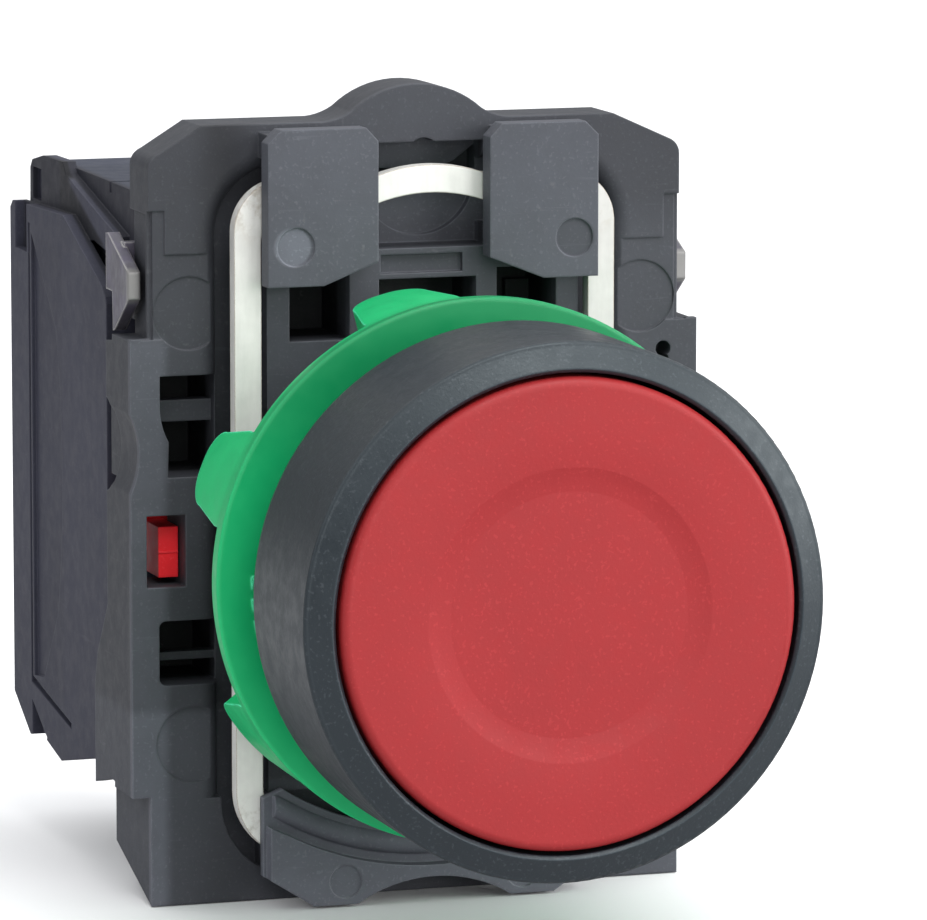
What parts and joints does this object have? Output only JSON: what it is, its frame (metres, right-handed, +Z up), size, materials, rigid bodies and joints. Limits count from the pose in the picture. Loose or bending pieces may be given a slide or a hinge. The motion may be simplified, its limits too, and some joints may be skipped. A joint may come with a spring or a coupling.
{
  "type": "panel push button",
  "caption": "Flush spring-return panel push button with round bezel, panel nut, clip-on fixing collar and a normally-closed contact block behind it.",
  "frame": {"origin": "on the head's axis, in the plane of the panel's front face (the gasket's seating face)", "axes": "+Y along the head's axis away from the operator, into the panel; +Z up; the button faces -Y"},
  "size_m": [0.0332, 0.0557, 0.0457],
  "materials": {
    "bezel_plastic": "fine matt texture, dark blue-grey",
    "button_red": "fine matt texture, red",
    "nut_green": "smooth satin, green",
    "collar_plastic": "satin moulded, dark grey",
    "block_plastic": "satin moulded, blue-grey",
    "pusher_plastic": "natural grey",
    "plunger_red": "semi-gloss, red",
    "gasket_rubber": "matt black",
    "frame_steel": "bright nickel plating on flat steel",
    "plate_steel": "zinc plated",
    "spring_steel": "drawn wire",
    "screw_steel": "zinc plated",
    "contact_brass": "rolled strip",
    "tip_silver": "silver contact alloy"
  },
  "bodies": {
    "housing": {"bezel_body": "bezel_plastic", "panel_gasket": "gasket_rubber", "button_seal": "gasket_rubber", "collar_body": "collar_plastic", "side_plate_left": "plate_steel", "side_plate_right": "plate_steel", "contact_housing": "block_plastic", "contact_cover": "block_plastic", "fixed_contact_upper": "contact_brass", "fixed_contact_lower": "contact_brass", "fixed_tips": "tip_silver", "button_return_spring": "spring_steel", "plunger_spring": "spring_steel"},
    "button": {"button_cap": "button_red", "button_pusher": "pusher_plastic"},
    "plunger": {"contact_plunger": "plunger_red", "bridge_spring": "spring_steel"},
    "bridge": {"moving_bridge": "contact_brass", "bridge_tips": "tip_silver"},
    "nut": {"fixing_nut": "nut_green"},
    "lock": {"lock_lever": "collar_plastic", "lock_frame": "frame_steel"},
    "clamp_upper": {"clamp_plate_upper": "screw_steel"},
    "screw_upper": {"terminal_screw_upper": "screw_steel"},
    "clamp_lower": {"clamp_plate_lower": "screw_steel"},
    "screw_lower": {"terminal_screw_lower": "screw_steel"}
  },
  "joints": [
    {"name": "button_press", "type": "slide", "parent": "housing", "child": "button", "axis": [0, 1, 0], "range_m": [0, 0.0043], "stiffness_N_per_m": 350, "springref_m": -0.004, "deforming": ["button_return_spring"]},
    {"name": "plunger_travel", "type": "slide", "parent": "housing", "child": "plunger", "axis": [0, 1, 0], "range_m": [0, 0.0043], "deforming": ["plunger_spring"]},
    {"name": "bridge_travel", "type": "slide", "parent": "housing", "child": "bridge", "axis": [0, 1, 0], "range_m": [0, 0.0028], "deforming": ["bridge_spring"]},
    {"name": "nut_travel", "type": "slide", "parent": "housing", "child": "nut", "axis": [0, 1, 0], "range_m": [-0.00166, 0.00334]},
    {"name": "lock_pull", "type": "slide", "parent": "housing", "child": "lock", "axis": [0, 0, -1], "range_m": [0, 0.0012], "stiffness_N_per_m": 4000, "springref_m": -0.0005},
    {"name": "clamp_upper_lift", "type": "slide", "parent": "housing", "child": "clamp_upper", "axis": [0, 1, 0], "range_m": [0, 0.0015]},
    {"name": "screw_upper_turn", "type": "hinge", "parent": "clamp_upper", "child": "screw_upper", "pos_m": [-0.011, 0.038, 0.0106], "axis": [0, 1, 0], "range_deg": [0, 905]},
    {"name": "clamp_lower_lift", "type": "slide", "parent": "housing", "child": "clamp_lower", "axis": [0, 1, 0], "range_m": [0, 0.0015]},
    {"name": "screw_lower_turn", "type": "hinge", "parent": "clamp_lower", "child": "screw_lower", "pos_m": [-0.011, 0.038, -0.0092], "axis": [0, 1, 0], "range_deg": [0, 905]}
  ],
  "couplings": [
    {"joint": "plunger_travel", "follows": "button_press", "ratio": 1},
    {"joint": "bridge_travel", "follows": "button_press", "ratio": 0.651},
    {"joint": "screw_upper_turn", "follows": "clamp_upper_lift", "rad_per_m": 10472},
    {"joint": "screw_lower_turn", "follows": "clamp_lower_lift", "rad_per_m": 10472}
  ]
}
